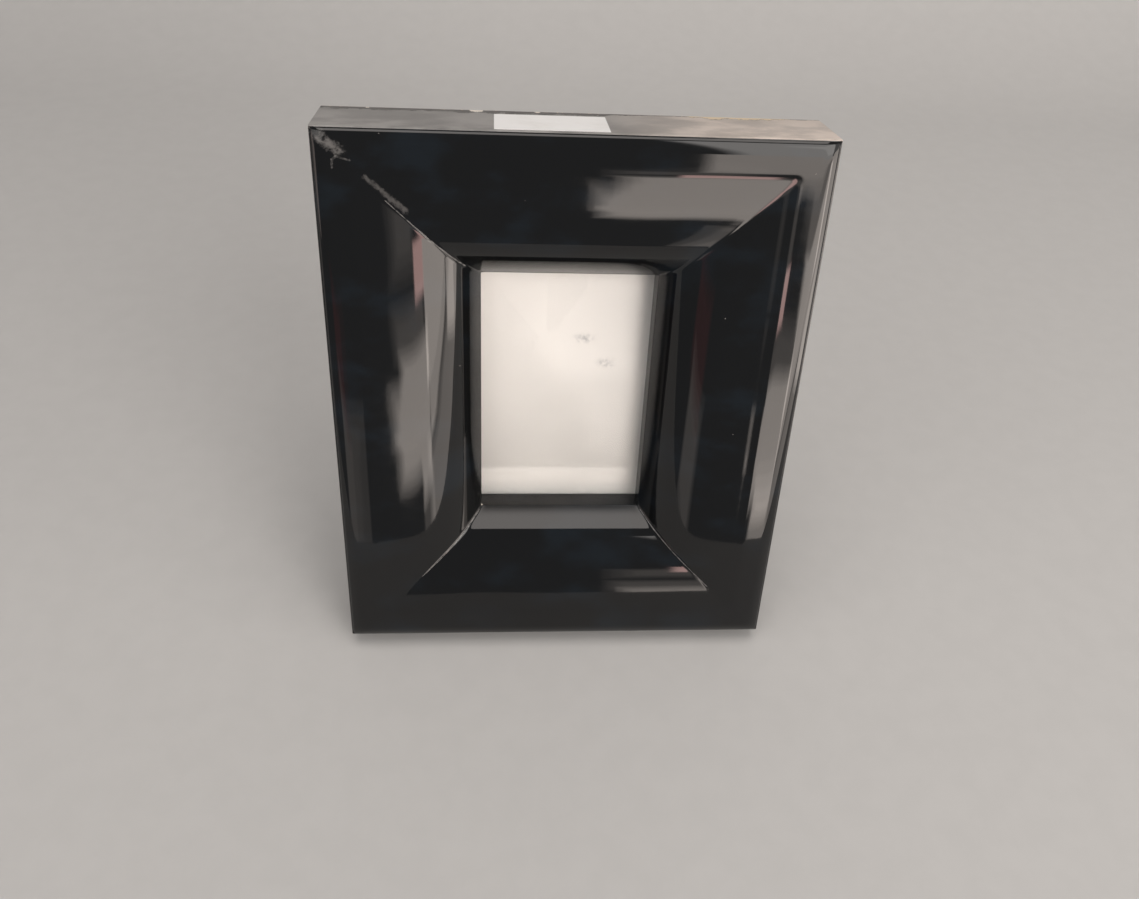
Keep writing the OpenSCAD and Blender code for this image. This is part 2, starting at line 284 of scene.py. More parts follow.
def makeStage():    # a pale table top that sweeps up into a backdrop
    s = stageSet
    deselect()
    depth = s["backEdge"] - s["frontEdge"]
    bpy.ops.mesh.primitive_plane_add(size=1, location=(0, s["frontEdge"] + depth / 2, 0))
    sweep = bpy.context.object
    sweep.scale = (2 * s["halfWidth"], depth, 1)
    bpy.ops.object.transform_apply(location=True, rotation=True, scale=True)
    nearBack = s["backEdge"] - depth / 2
    bpy.ops.object.mode_set(mode="EDIT")
    pick(sweep, lambda v: v.co.y > nearBack)
    bpy.ops.mesh.extrude_region_move(TRANSFORM_OT_translate={"value": (0, 0, s["wallHeight"])})
    pick(sweep, lambda e: all(abs(v.co.z) < tiny and v.co.y > nearBack for v in e.verts), "EDGE")
    bpy.ops.mesh.bevel(offset=s["sweepRadius"], segments=s["sweepSteps"])
    bpy.ops.object.mode_set(mode="OBJECT")
    bpy.ops.object.shade_smooth()
    sweep.name = "stageSweep"
    material, tree, shader = newMaterial("paleStage")
    mottle = patches(tree, objectCoordinates(tree), s["mottle"])
    setShader(tree, shader, {
        "Base Color": mixColour(tree, mottle, s["colour"], shaded(s["colour"], s["mottleShade"])),
        "Roughness": s["roughness"],
        "Specular IOR Level": s["specular"],
    })
    sweep.data.materials.append(material)
    sweep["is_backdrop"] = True


# Soft boxes: middle, size across and down, and level, which is how bright the lamp looks;
# and where it matters, how far its edge fades, which way its back faces, and its colour
lampSet = {
    "windowLow": {"place": (2.22, -8.0, -2.15), "size": (2.68, 0.40), "level": 5.0, "fade": 0.14},
    "windowHead": {"place": (2.355, -8.0, -1.805), "size": (2.41, 0.29), "level": 5.0, "fade": 0.14},
    "windowLower": {"place": (2.255, -8.0, -2.555), "size": (2.61, 0.41), "level": 5.0, "fade": 0.14},
    "windowCorner": {"place": (2.90, -8.0, -2.91), "size": (1.32, 0.30), "level": 5.0, "fade": 0.14},
    "windowBlind": {"place": (2.05, -8.0, -1.455), "size": (2.10, 0.41), "level": 1.0, "fade": 0.12},
    "windowSill": {"place": (3.05, -8.0, -3.45), "size": (1.70, 0.78), "level": 0.9, "fade": 0.10},
    "windowHaze": {"place": (1.60, -8.0, -0.53), "size": (1.10, 0.84), "level": 0.9, "fade": 0.20},
    "windowPink": {"place": (0.375, -1.2, 0.03), "size": (0.18, 0.11), "level": 7.0, "fade": 0.01,
                   "colour": (1.0, 0.62, 0.57)},
    "windowTall": {"place": (1.38, -2.0, 1.66), "size": (1.60, 2.60), "level": 3.9, "fade": 0.04,
                   "colour": (1.0, 0.95, 0.91)},
    "windowHigh": {"place": (1.55, -2.0, 0.26), "size": (2.10, 0.20), "level": 4.0, "fade": 0.03},
    "windowMid": {"place": (1.70, -2.0, 0.08), "size": (1.80, 0.16), "level": 2.0, "fade": 0.02},
    "windowSide": {"place": (1.96, -2.0, -0.23), "size": (2.28, 0.46), "level": 5.6, "fade": 0.02},
    "windowShelf": {"place": (1.76, -2.0, -0.54), "size": (1.68, 0.16), "level": 4.6, "fade": 0.02},
    "windowFoot": {"place": (1.32, -0.9, -0.52), "size": (1.95, 0.56), "level": 2.5, "fade": 0.05},
    "windowLeft": {"place": (-0.46, -0.9, -0.28), "size": (0.46, 0.26), "level": 0.8, "fade": 0.05},
    "windowRed": {"place": (-0.56, -0.9, -0.08), "size": (0.52, 0.20), "level": 0.28, "fade": 0.04,
                  "colour": (1.0, 0.12, 0.12)},
    "windowEast": {"place": (1.35, -0.75, 0.05), "size": (1.0, 0.9), "level": 4.6, "fade": 0.04,
                   "facing": (1, 0, 0)},
    "windowWest": {"place": (-1.30, -0.50, 0.20), "size": (0.8, 0.6), "level": 1.5,
                   "facing": (-1, 0, 0), "colour": (1.0, 0.82, 0.74)},
    "ceiling": {"place": (0.04, -0.22, 2.40), "size": (1.80, 1.60), "level": 3.3,
                "facing": (0, 0, 1), "colour": (1.0, 0.93, 0.88)},
    "keyLeft": {"place": (-0.92, -0.82, 0.90), "size": (1.30, 1.05), "level": 1.38,
                "facing": (-0.85, -0.76, 0.65), "colour": (1.0, 0.96, 0.92)},
    "keyRight": {"place": (1.02, -0.80, 0.88), "size": (1.30, 1.05), "level": 1.08,
                 "facing": (0.92, -0.74, 0.62), "colour": (1.0, 0.96, 0.92)},
}
lampColour = (1.0, 0.89, 0.81)
worldColour = (0.20, 0.205, 0.215)
fadeSteps = 4
lampGap = 0.003    # between the planes of two lamps: of two in one plane, only one would show


def makeLamps():    # a lamp with a soft edge is the same one a few times over, each a little smaller
    for order, (name, lamp) in enumerate(lampSet.items()):
        fade = lamp.get("fade", 0)
        facing = Vector(lamp.get("facing", (0, -1, 0)))
        steps = fadeSteps if fade else 1
        for i in range(steps):
            less = fade * (2 * (i + 0.5) / steps - 1)
            width, height = [side - 2 * less for side in lamp["size"]]
            apart = lampGap * (order * fadeSteps + i)
            place = Vector(lamp["place"]) + facing.normalized() * apart
            bpy.ops.object.light_add(type="AREA", location=place)
            made = bpy.context.object
            made.name = name
            made.data.shape = "RECTANGLE"
            made.data.size, made.data.size_y = width, height
            made.data.energy = lamp["level"] / steps * math.pi * width * height
            made.data.color = lamp.get("colour", lampColour)
            made.rotation_euler = facing.to_track_quat("Z", "Y").to_euler()
            made.visible_camera = False
    world = bpy.data.worlds.new("studio")
    world.use_nodes = True
    world.node_tree.nodes["Background"].inputs["Color"].default_value = (*worldColour, 1)
    bpy.context.scene.world = world


makeCamera()
makeStage()
makeLamps()
bpy.context.scene.view_settings.view_transform = "Standard"
print("camera, stage and lamps made")


# Rails

railSet = {
    "sideDepth": 0.0405,       # flat outer side, up to the soft edge
    "softWidth": 0.0075,
    "rimWidth": 0.017,         # outer side to crest
    "sightDepth": 0.0165,      # height of the sight edge
    "faceFall": 0.0065,
    "facePower": 5,
    "arris": 0.0008,
    "sightArris": 0.0004,
    "sightArrisShape": 2,      # how much taller than wide the sight edge is rounded
    "backArris": 0.0005,
    "backArrisShare": 0.3,
    "lipWidth": 0.0065,
    "crestBlend": 0.0016,      # half width of the softened crest
    "dipWidth": 0.008,         # a slight dip runs along the inside of the crest
    "dipDepth": {"rail_right": 0.00005},
    "mitreBlend": (0.0045, 0.0022),    # how far the coat pools beside a mitre: on the rim, on the face
    "mitreBlendReach": 0.007,          # from the crest to where it is as on the face
    "mitreSteps": (0.00015, 0.0004, 0.0008, 0.0013, 0.002, 0.0028, 0.004, 0.006),
    "columnStep": 0.004,
    "rimShares": (0.35, 0.7),
    "arrisRows": 4,
    "softRows": 12,
    "crestRows": 6,
    "dipRows": 16,
    "faceRows": 44,
    "sightRows": 3,
    "smoothAngle": 35,
}


def faceHeight(u):    # height of the face at a distance u from the outer side
    s = railSet
    rise = crestZ - s["sideDepth"]
    if u < s["softWidth"]:
        return s["sideDepth"] + rise * (1 - (1 - u / s["softWidth"]) ** 2)
    if u < s["rimWidth"]:
        return crestZ
    x = (u - s["rimWidth"]) / (railW - s["rimWidth"])
    return crestZ - s["faceFall"] * x - (crestZ - s["faceFall"] - s["sightDepth"]) * x ** s["facePower"]


def softHeight(u, depth):    # the same with the crest softened and a dip of this depth beside it
    half = railSet["crestBlend"]
    away = u - railSet["rimWidth"]
    share = min(max(away / railSet["dipWidth"], 0), 1)
    dip = depth * math.sin(math.pi * share) ** 2
    if abs(away) >= half:
        return faceHeight(u) - dip
    slope = (faceHeight(railSet["rimWidth"] + half) - crestZ) / half
    return crestZ + slope * (away + half) ** 2 / (4 * half) - dip


def railSection(depth):    # outline from the top of the flat side round to the back, as (y, z)
    s = railSet
    points = []
    for i in range(1, s["arrisRows"] + 1):
        turn = math.radians(90 * i / s["arrisRows"])
        points.append((s["arris"] * (1 - math.cos(turn)),
                       s["sideDepth"] - s["arris"] * (1 - math.sin(turn))))
    softEnd, crestStart = s["softWidth"], s["rimWidth"] - s["crestBlend"]
    crestEnd = s["rimWidth"] + s["crestBlend"]
    dipEnd = crestEnd + s["dipWidth"]
    inner = railW - s["sightArris"]
    shares = [math.sin(math.radians(90 * i / s["faceRows"])) for i in range(1, s["faceRows"] + 1)]
    rows = [s["arris"] + (softEnd - s["arris"]) * i / s["softRows"] for i in range(1, s["softRows"] + 1)]
    rows += [softEnd + (crestStart - softEnd) * share for share in s["rimShares"]]
    rows += [crestStart + (crestEnd - crestStart) * i / s["crestRows"] for i in range(s["crestRows"] + 1)]
    rows += [crestEnd + s["dipWidth"] * i / s["dipRows"] for i in range(1, s["dipRows"] + 1)]
    rows += [dipEnd + (inner - dipEnd) * share for share in shares]    # closer together further in
    points += [(u, softHeight(u, depth)) for u in rows]
    last = softHeight(inner, depth)
    for i in range(1, s["sightRows"] + 1):    # the sight edge is barely rounded
        turn = math.radians(90 * i / s["sightRows"])
        points.append((inner + s["sightArris"] * math.sin(turn),
                       last - s["sightArrisShape"] * s["sightArris"] * (1 - math.cos(turn))))
    points += [(railW, (last + rebateZ) / 2), (railW, rebateZ),
               (railW - s["lipWidth"], rebateZ), (railW - s["lipWidth"], 0)]
    cut = s["backArrisShare"] * s["backArris"]
    points += [(s["backArris"], 0), (cut, cut), (0, s["backArris"])]
    return points


def makeRail(name, node, length, across, turn, material):
    s = railSet
    depth = s["dipDepth"].get(node, 0)
    half = length / 2
    sideTop = s["sideDepth"] - s["arris"]
    sideLow = s["backArris"]
    deselect()
    bpy.ops.mesh.primitive_plane_add(size=1, location=(0, 0, (sideTop + sideLow) / 2),
                                     rotation=(math.radians(90), 0, 0))
    rail = bpy.context.object
    rail.scale = (length, sideTop - sideLow, 1)
    bpy.ops.object.transform_apply(location=True, rotation=True, scale=True)
    bpy.ops.object.mode_set(mode="EDIT")
    steps = [half - d for d in s["mitreSteps"]]
    plain = int(steps[-1] / s["columnStep"])
    columns = [steps[-1] * i / plain for i in range(plain)] + steps    # closer together at the mitres
    for x in columns:
        for side in ((1, -1) if x else (1,)):
            bpy.ops.mesh.select_all(action="SELECT")
            bpy.ops.mesh.bisect(plane_co=(side * x, 0, 0), plane_no=(1, 0, 0))
    pick(rail, lambda v: v.co.z > sideTop - tiny)
    here = (0.0, sideTop)
    for y, z in railSection(depth):    # the section is drawn out row by row, each row a little shorter
        bpy.ops.mesh.extrude_region_move(TRANSFORM_OT_translate={"value": (0, y - here[0], z - here[1])})
        shorter = (half - y) / (half - here[0])
        bpy.ops.transform.resize(value=(shorter, 1, 1), center_override=(0, 0, 0))
        here = (y, z)
    bpy.ops.mesh.select_all(action="SELECT")
    bpy.ops.mesh.remove_doubles(threshold=tiny)
    for side in (-1, 1):    # the mitred ends
        pick(rail, lambda e: e.is_boundary and e.verts[0].co.x * side > 0, "EDGE")
        bpy.ops.mesh.edge_face_add()
    bpy.ops.mesh.select_all(action="SELECT")
    bpy.ops.mesh.normals_make_consistent(inside=False)
    bpy.ops.object.mode_set(mode="OBJECT")
    flowLacquer(rail, half, depth)
    placed = Matrix.Rotation(math.radians(turn), 4, "Z") @ Matrix.Translation((0, -across / 2, 0))
    settle(rail, standing @ placed)
    bpy.ops.object.shade_smooth_by_angle(angle=math.radians(s["smoothAngle"]))
    finishPiece(rail, name, material, "frame", "black_lacquer", node)
    return rail


def flowLacquer(rail, half, depth):    # the coat pools a little where two rails meet
    s = railSet
    onRim, onFace = s["mitreBlend"]
    faceStart = s["sideDepth"] - s["arris"] / 2
    faceEnd = s["sightDepth"] - s["sightArrisShape"] * s["sightArris"]
    for v in rail.data.vertices:
        u = v.co.y
        across = half - abs(v.co.x)
        if v.co.z < faceEnd or (u < tiny and v.co.z < faceStart):    # on the lip, back or flat side
            continue
        inward = min(max((u - s["rimWidth"]) / s["mitreBlendReach"], 0), 1)
        blend = onRim + (onFace - onRim) * inward
        near = max(blend - abs(across - u), 0) / blend
        pooled = min(u, across) - near * near * blend / 4
        v.co.z += softHeight(max(pooled, 0), depth) - softHeight(min(u, railW), depth)


lacquerSet = {
    "ior": 1.46,
    "black": (0.0040, 0.0042, 0.0044),
    "haze": (0.0058, 0.0080, 0.0105),
    "hazeCloud": {"scale": 24.0, "detail": 4.0, "rough": 0.55, "stretch": (1.0, 1.7, 1.0),
                  "range": (0.48, 0.70)},
    "gloss": {"scale": 70.0, "detail": 4.0, "rough": 0.6, "stretch": (1.0, 3.2, 1.0), "turn": (0, 0, 0.5),
              "range": (0.35, 0.8), "to": (0.035, 0.0595)},
    "settled": 0.24,           # roughness where dust has settled, as the face turns down to the glass
    "settledHeight": (0.028, 0.019),

    "sideEdge": (-0.0007, -0.0002),    # how far inside the outer sides they begin and are full
    "topEdge": (-0.0008, -0.0002),
    "backEdge": (0.0006, 0.0002),
    "mitreEdge": (-0.0001, 0.0001),

    "dustGrey": (0.29, 0.28, 0.27),
    "dustAndReflectionBeige": (0.62, 0.54, 0.48),
    "reflectionBeigeFrom": (0.0, 0.075),         # across the top side, from grey dust to beige: dust with a painted reflection of warm light towards the right
    "topDustAndReflectionCover": 0.95,
    "thinDustAndReflection": (0.52, 0.62),          # shade of thin dust: grey, and beige with its painted reflection
    "dustCloud": {"scale": 38.0, "detail": 4.0, "rough": 0.6, "stretch": (1.0, 1.0, 1.6)},
    "dustRange": (0.36, 0.62),
    "filmCover": 0.5,
    "filmShade": 0.16,
    "satin": (0.32, 0.52),
    "satinRange": (0.3, 0.7),

    "backPaint": (0.011, 0.0105, 0.010),
    "backGrain": (0.034, 0.030, 0.027),
    "backRough": 0.62,
    "grainX": {"scale": 420.0, "detail": 4.0, "rough": 0.6, "stretch": (0.06, 1.0, 1.0)},
    "grainY": {"scale": 420.0, "detail": 4.0, "rough": 0.6, "stretch": (1.0, 0.06, 1.0)},
    "grainRange": (0.40, 0.75),
    "grainRelief": 0.12,
    "seamColour": (0.001, 0.001, 0.001),
    "seamWidth": (0.00035, 0.0001),

    "ragged": {"scale": 150.0, "detail": 4.0, "rough": 0.65, "stretch": (1.0, 1.0, 0.4)},
    "raggedRange": (0.35, 0.65),
    "edgeGrime": (0.035, 0.031, 0.028),
    "grimeCover": 0.85,
    "grimeReach": (0.0040, 0.0078),
    "grimeFade": (0.045, 0.0, 0.3, 1.0),    # it reaches less far on the right
    "grimeSoft": 0.0008,

    "rawWood": (0.68, 0.56, 0.40),
    "rawRough": 0.75,
    "rawSoft": 0.00018,
    "undercoat": (0.10, 0.065, 0.045),
    "undercoatReach": 0.0010,
    "nicks": {"scale": 330.0, "detail": 3.0, "rough": 0.65, "stretch": (1.0, 1.0, 0.15)},
    "nickRange": (0.42, 0.72),
    "nickReach": {"scale": 45.0, "detail": 2.0, "rough": 0.5, "range": (0.42, 0.62),
                  "to": (0.0004, 0.0017)},
    "bareReach": (0.0016, 0.0056),
    "bareFrom": (0.050, 0.066),        # a stretch of the top back edge that is worn bare
    "bareUntil": (0.108, 0.098),

    # rubs and scratches, and painted highlights: the first stroke and the last four are painted
    # highlights along the mitres, the three between a hooked scratch. From, to (across, up), half width
    # at either end, how much, how crisp its edge is
    "rubsAndMitreGlints": ((-0.1160, 0.1410, -0.1070, 0.1352, 0.0002, 0.0002, 0.40, 0.0030),
             (-0.1105, 0.1275, -0.1103, 0.1310, 0.0001, 0.0003, 0.28, 0.0005),
             (-0.1103, 0.1310, -0.1086, 0.1325, 0.0003, 0.0002, 0.36, 0.0005),
             (-0.1086, 0.1325, -0.1026, 0.1309, 0.0002, 0.0001, 0.28, 0.0005),
             (-0.0963, 0.1235, -0.0790, 0.1076, 0.0003, 0.0007, 0.22, 0.0013),
             (-0.0880, 0.1126, -0.0525, 0.0773, 0.0001, 0.0002, 0.45, 0.0002),
             (-0.0462, -0.0714, -0.0780, -0.1030, 0.0002, 0.0001, 0.45, 0.0002),
             (0.0462, -0.0714, 0.0860, -0.1112, 0.0001, 0.0001, 0.40, 0.0002)),
    "rubAndGlintGrey": (0.27, 0.26, 0.25),
    "rubAndGlintRough": 0.6,
    "rubAndGlintBroken": {"scale": 330.0, "detail": 4.0, "rough": 0.65, "range": (0.34, 0.58), "to": (0.12, 1.0)},
    "rubAndGlintFrayed": {"scale": 420.0, "detail": 4.0, "rough": 0.65},
    "rubAndGlintFray": 2.2,
    "frontInside": (-0.0002, -0.0012),    # rubs and painted mitre highlights lie on the front alone: inside the outer sides,
    "frontAbove": (0.012, 0.0155),        # and above the lip

    # painted highlights at the two sight corners and the lower left outer corner (the first three), and
    # chips along the top back edge (the last three): across, up, out of the back plane, size
    "chipsAndCornerGlints": ((-0.0450, -0.0700, 0.0165, 0.0011), (-0.1198, -0.1448, 0.0405, 0.0010),
              (-0.0465, 0.0722, 0.0176, 0.0007), (-0.0980, 0.1450, 0.0010, 0.0013),
              (-0.0468, 0.1450, 0.0016, 0.0034), (-0.0178, 0.1450, 0.0014, 0.0024)),
    "chipWoodAndGlint": (0.78, 0.72, 0.64),
    "chipAndGlintRough": 0.7,
    "chipAndGlintRagged": (0.3, 0.7, 0.45, 1.1),
    "chipAndGlintSoft": 0.00012,

    "speckColour": (0.16, 0.15, 0.14),
    "speckRough": 0.6,
    "speckScale": 90.0,
    "speckSize": (0.035, 0.02),
    "speckFew": (0.80, 0.84),

    "bump": (1.0, 0.0006),    # strength and height
    "waves": {"scale": 13.0, "detail": 1.0, "rough": 0.3},    # slow waves in the coat
    "peel": {"scale": 300.0, "detail": 2.0, "rough": 0.5},
    "peelShare": 0.0025,
    "scuffs": {"scale": 900.0, "detail": 3.0, "rough": 0.6},
    "scuffShare": 0.035,
}


def railMasks(tree, flat):    # places on the rails, and 1 on the parts of them that a name says
    s = lacquerSet
    x, y, z = split(tree, flat)
    outX = minus(tree, positive(tree, x), frameW / 2)
    outY = minus(tree, positive(tree, y), frameH / 2)
    outside = calc(tree, "MAXIMUM", outX, outY)    # 0 on the flat outer sides, less further in
    sides = ramp(tree, outside, *s["sideEdge"])
    top = times(tree, ramp(tree, y, *[frameH / 2 + edge for edge in s["topEdge"]]), sides)
    fromMitre = minus(tree, outX, outY)
    return {"x": x, "z": z, "outside": outside, "sides": sides, "top": top,
            "back": ramp(tree, z, *s["backEdge"]),
            "front": times(tree, ramp(tree, outside, *s["frontInside"]), ramp(tree, z, *s["frontAbove"])),
            "upright": ramp(tree, fromMitre, *s["mitreEdge"]),    # the side rails
            "fromMitre": positive(tree, fromMitre),
            "nicks": noiseOf(tree, flat, s["nicks"])}


def glossCoat(tree, flat, masks):
    s = lacquerSet
    colour = mixColour(tree, patches(tree, flat, s["hazeCloud"]), s["black"], s["haze"])
    settled = ramp(tree, masks["z"], *s["settledHeight"])
    return colour, mixValue(tree, settled, patches(tree, flat, s["gloss"]), s["settled"])


def dustAndReflectionCoat(tree, flat, masks, coat):    # dust on the top side, turning beige towards the right as a painted reflection of warm light; a thin film on the others
    s = lacquerSet
    thinGrey, thinBeige = s["thinDustAndReflection"]
    cloud = noiseOf(tree, flat, s["dustCloud"])
    # towards the right the dust turns beige: a painted reflection of warm light laid over real dust
    beige = ramp(tree, masks["x"], *s["reflectionBeigeFrom"])
    topDustAndReflection = mixColour(tree, beige, s["dustGrey"], s["dustAndReflectionBeige"])
    thin = mixColour(tree, beige, shaded(s["dustGrey"], thinGrey), shaded(s["dustAndReflectionBeige"], thinBeige))
    topDustAndReflection = mixColour(tree, ramp(tree, cloud, *s["dustRange"]), thin, topDustAndReflection)
    colour = mixColour(tree, times(tree, masks["top"], s["topDustAndReflectionCover"]), coat[0], topDustAndReflection)
    film = times(tree, minus(tree, masks["sides"], masks["top"]), s["filmCover"])
    colour = mixColour(tree, film, colour, shaded(s["dustGrey"], s["filmShade"]))
    satin = ramp(tree, cloud, *s["satinRange"], *s["satin"])
    return colour, mixValue(tree, masks["sides"], coat[1], satin)


def backCoat(tree, flat, masks, coat):    # painted wood, with the grain along each rail, and its relief
    s = lacquerSet
    alongX, alongY = [noiseOf(tree, flat, s[look]) for look in ("grainX", "grainY")]
    grain = mixValue(tree, masks["upright"], alongX, alongY)
    painted = mixColour(tree, ramp(tree, grain, *s["grainRange"]), s["backPaint"], s["backGrain"])
    seam = times(tree, ramp(tree, masks["fromMitre"], *s["seamWidth"]), masks["back"])
    painted = mixColour(tree, seam, painted, s["seamColour"])
    relief = times(tree, minus(tree, times(tree, grain, s["grainRelief"]), seam), masks["back"])
    return cover(tree, masks["back"], coat, painted, s["backRough"]), relief


def wornCoat(tree, flat, masks, coat):    # grime along the top back edge, then undercoat and bare wood
    s = lacquerSet
    ragged = noiseOf(tree, flat, s["ragged"])
    grimeReach = times(tree, ramp(tree, ragged, *s["raggedRange"], *s["grimeReach"]),
                       ramp(tree, masks["x"], *s["grimeFade"]))
    grime = ramp(tree, minus(tree, grimeReach, masks["z"]), 0.0, s["grimeSoft"])
    grime = times(tree, grime, times(tree, masks["top"], s["grimeCover"]))
    colour = mixColour(tree, grime, coat[0], s["edgeGrime"])

    inward = minus(tree, masks["z"], masks["outside"])    # distance from the back edge along either face
    reach = times(tree, ramp(tree, masks["nicks"], *s["nickRange"]), patches(tree, flat, s["nickReach"]))
    bare = times(tree, ramp(tree, masks["x"], *s["bareFrom"]), ramp(tree, masks["x"], *s["bareUntil"]))
    bare = times(tree, ramp(tree, ragged, *s["raggedRange"], *s["bareReach"]), bare)
    reach = plus(tree, reach, times(tree, bare, masks["top"]))
    inside = minus(tree, reach, inward)
    browned = ramp(tree, inside, -s["undercoatReach"], 0.0)
    colour = mixColour(tree, times(tree, browned, masks["sides"]), colour, s["undercoat"])
    worn = ramp(tree, inside, 0.0, s["rawSoft"])
    return cover(tree, worn, (colour, coat[1]), s["rawWood"], s["rawRough"])


def rubbedAndGlintCoat(tree, flat, masks, coat):
    s = lacquerSet
    broken = times(tree, patches(tree, flat, s["rubAndGlintBroken"]), masks["front"])
    frayed = minus(tree, noiseOf(tree, flat, s["rubAndGlintFrayed"]), noiseMiddle)
    # strokes along the mitres are painted highlights; the three others are a hooked scratch
    for fromX, fromY, toX, toY, wideStart, wideEnd, much, soft in s["rubsAndMitreGlints"]:
        start = Vector((fromX, fromY, 0))
        along = Vector((toX, toY, 0)) - start
        off = vectorMath(tree, "SUBTRACT", {0: flat, 1: start})
        off = vectorMath(tree, "MULTIPLY", {0: off, 1: (1, 1, 0)})    # at any height
        share = vectorMath(tree, "DOT_PRODUCT", {0: off, 1: along / along.length_squared}, "Value")
        share = addNode(tree, "ShaderNodeClamp", {"Value": share}).outputs["Result"]
        nearest = vectorMath(tree, "SCALE", {0: along, "Scale": share})
        gap = vectorMath(tree, "DISTANCE", {0: off, 1: nearest}, "Value")
        gap = plus(tree, gap, times(tree, frayed, soft * s["rubAndGlintFray"]))
        wide = mixValue(tree, share, wideStart, wideEnd)
        strokeMark = ramp(tree, minus(tree, gap, wide), soft, 0.0, 0.0, much)
        coat = cover(tree, times(tree, strokeMark, broken), coat, s["rubAndGlintGrey"], s["rubAndGlintRough"])
    return coat


def chippedAndGlintCoat(tree, flat, masks, coat):    # painted highlights at three corners, chips along the top back edge, and a few pale specks
    s = lacquerSet
    # the first three spots are painted highlights at corners; the rest are chips
    for spotX, spotY, spotZ, size in s["chipsAndCornerGlints"]:
        gap = vectorMath(tree, "DISTANCE", {0: flat, 1: (spotX, spotY, spotZ)}, "Value")
        ragged = times(tree, ramp(tree, masks["nicks"], *s["chipAndGlintRagged"]), size)
        spotMark = ramp(tree, minus(tree, ragged, gap), 0.0, s["chipAndGlintSoft"])
        coat = cover(tree, spotMark, coat, s["chipWoodAndGlint"], s["chipAndGlintRough"])
    cells = addNode(tree, "ShaderNodeTexVoronoi", {"Vector": flat, "Scale": s["speckScale"]}).outputs
    few = ramp(tree, split(tree, cells["Color"])[0], *s["speckFew"])
    speck = times(tree, ramp(tree, cells["Distance"], *s["speckSize"]), few)
    return cover(tree, speck, coat, s["speckColour"], s["speckRough"])


def makeLacquer():
    s = lacquerSet
    material, tree, shader = newMaterial("glossBlackLacquer")
    flat = flatCoordinates(tree)
    masks = railMasks(tree, flat)
    coat = glossCoat(tree, flat, masks)
    coat = dustAndReflectionCoat(tree, flat, masks, coat)
    coat, relief = backCoat(tree, flat, masks, coat)
    coat = wornCoat(tree, flat, masks, coat)
    coat = rubbedAndGlintCoat(tree, flat, masks, coat)
    colour, rough = chippedAndGlintCoat(tree, flat, masks, coat)
    setShader(tree, shader, {"Base Color": colour, "Roughness": rough, "IOR": s["ior"]})
    peel = times(tree, noiseOf(tree, flat, s["peel"]), s["peelShare"])
    scuffs = times(tree, noiseOf(tree, flat, s["scuffs"]), times(tree, masks["sides"], s["scuffShare"]))
    height = plus(tree, noiseOf(tree, flat, s["waves"]), plus(tree, peel, scuffs))
    addBump(tree, shader, plus(tree, height, relief), *s["bump"])
    return material


lacquer = makeLacquer()
for name, node, length, across, turn in (("lacqueredRailTop", "rail_top", frameW, frameH, 180),
                                         ("lacqueredRailBottom", "rail_bottom", frameW, frameH, 0),
                                         ("lacqueredRailLeft", "rail_left", frameH, frameW, -90),
                                         ("lacqueredRailRight", "rail_right", frameH, frameW, 90)):
    made = makeRail(name, node, length, across, turn, lacquer)
    print(name, len(made.data.polygons), "faces")


# Glass, sheet and label

glassSet = {
    "tint": (0.97, 0.985, 0.975),
    "ior": 1.46,
    "body": 0.30,      # the rest is clear, so that the pane shines no more than a coated one
    "smear": {"scale": 90.0, "detail": 4.0, "rough": 0.6, "stretch": (1.0, 2.4, 1.0), "turn": (0, 0, 0.9),
              "range": (0.55, 0.85), "to": (0.012, 0.09)},    # roughness, clean and smeared
}


def makeGlass():
    s = glassSet
    material, tree, shader = newMaterial("floatGlass")
    setShader(tree, shader, {
        "Base Color": (*s["tint"], 1),
        "Transmission Weight": 1.0,
        "IOR": s["ior"],
        "Alpha": s["body"],
        "Roughness": patches(tree, flatCoordinates(tree), s["smear"]),
    })
    clear = addNode(tree, "ShaderNodeBsdfTransparent", {"Color": (*s["tint"], 1)})
    rays = addNode(tree, "ShaderNodeLightPath")
    mix = addNode(tree, "ShaderNodeMixShader", {0: rays.outputs["Is Shadow Ray"], 1: shader.outputs[0],
                                                2: clear.outputs[0]})
    tree.links.new(mix.outputs[0], tree.nodes["Material Output"].inputs["Surface"])
    return material


sheetSet = {
    "white": (0.82, 0.795, 0.765),
    "tone": {"scale": 24.0, "detail": 3.0, "rough": 0.5, "range": (0.3, 0.7)},
    "toneShade": 0.965,
    "fibre": {"scale": 900.0, "detail": 3.0, "rough": 0.6},
    "fibreRange": (0.35, 0.65, 0.0, 0.05),
    "fibreDark": 0.8,
    "fibreBump": (0.15, 0.00004),
    "roughness": 0.85,
    "specular": 0.3,
    "grey": (0.40, 0.40, 0.40),
    # across, up, size and strength of each faint mark
    "smudges": ((0.0100, 0.0285, 0.0085, 0.80), (0.0225, 0.0140, 0.0085, 0.66),
                (0.0060, -0.0240, 0.0050, 0.16), (-0.0150, 0.0020, 0.0070, 0.08)),
    "smudgeStretch": (1.0, 1.9, 0.0),
    "smudgeTurn": (0, 0, 0.55),
    "smudgeBlot": {"scale": 420.0, "detail": 4.0, "rough": 0.65, "range": (0.38, 0.66)},
}


